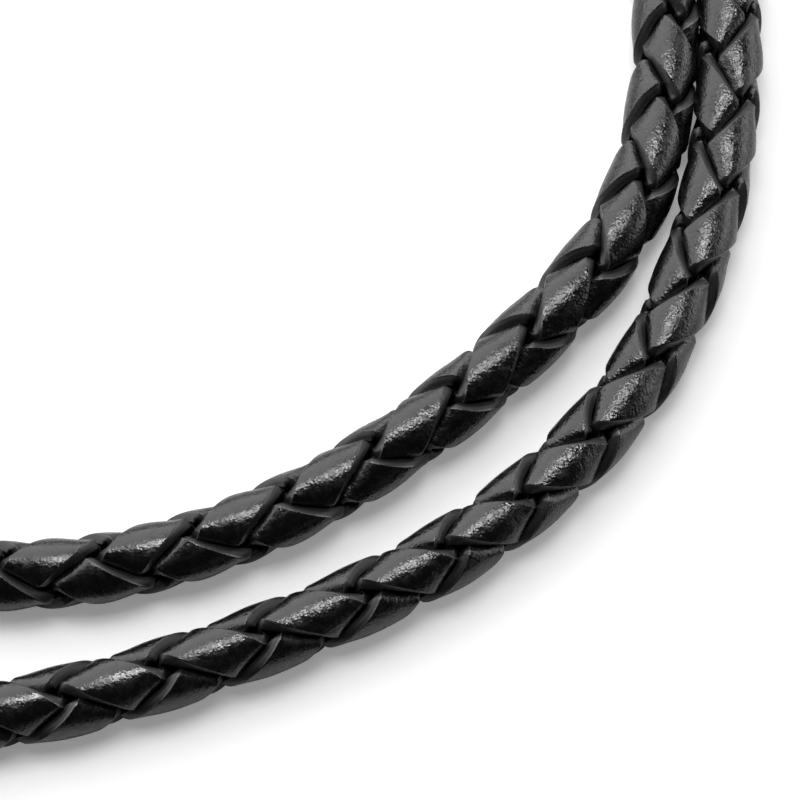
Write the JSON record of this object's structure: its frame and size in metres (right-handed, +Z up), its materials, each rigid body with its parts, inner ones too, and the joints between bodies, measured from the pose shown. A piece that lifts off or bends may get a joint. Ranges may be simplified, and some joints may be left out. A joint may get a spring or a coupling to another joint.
{
  "type": "leather choker",
  "caption": "Round braided leather cord choker closed by a plain barrel clasp, lying doubled in two turns on a surface.",
  "frame": {"origin": "on the surface that the choker lies on, under the middle of the doubled loop", "axes": "+Z up from the surface, +X along the longest side of the doubled loop, away from the clasp, +Y across it"},
  "size_m": [0.0728, 0.0712, 0.0064],
  "materials": {
    "leather": "black, finely pored, waxed to a soft gloss",
    "steel": "brushed along the barrel"
  },
  "bodies": {
    "root": {"braided_cord": "leather", "clasp": "steel"}
  },
  "joints": []
}
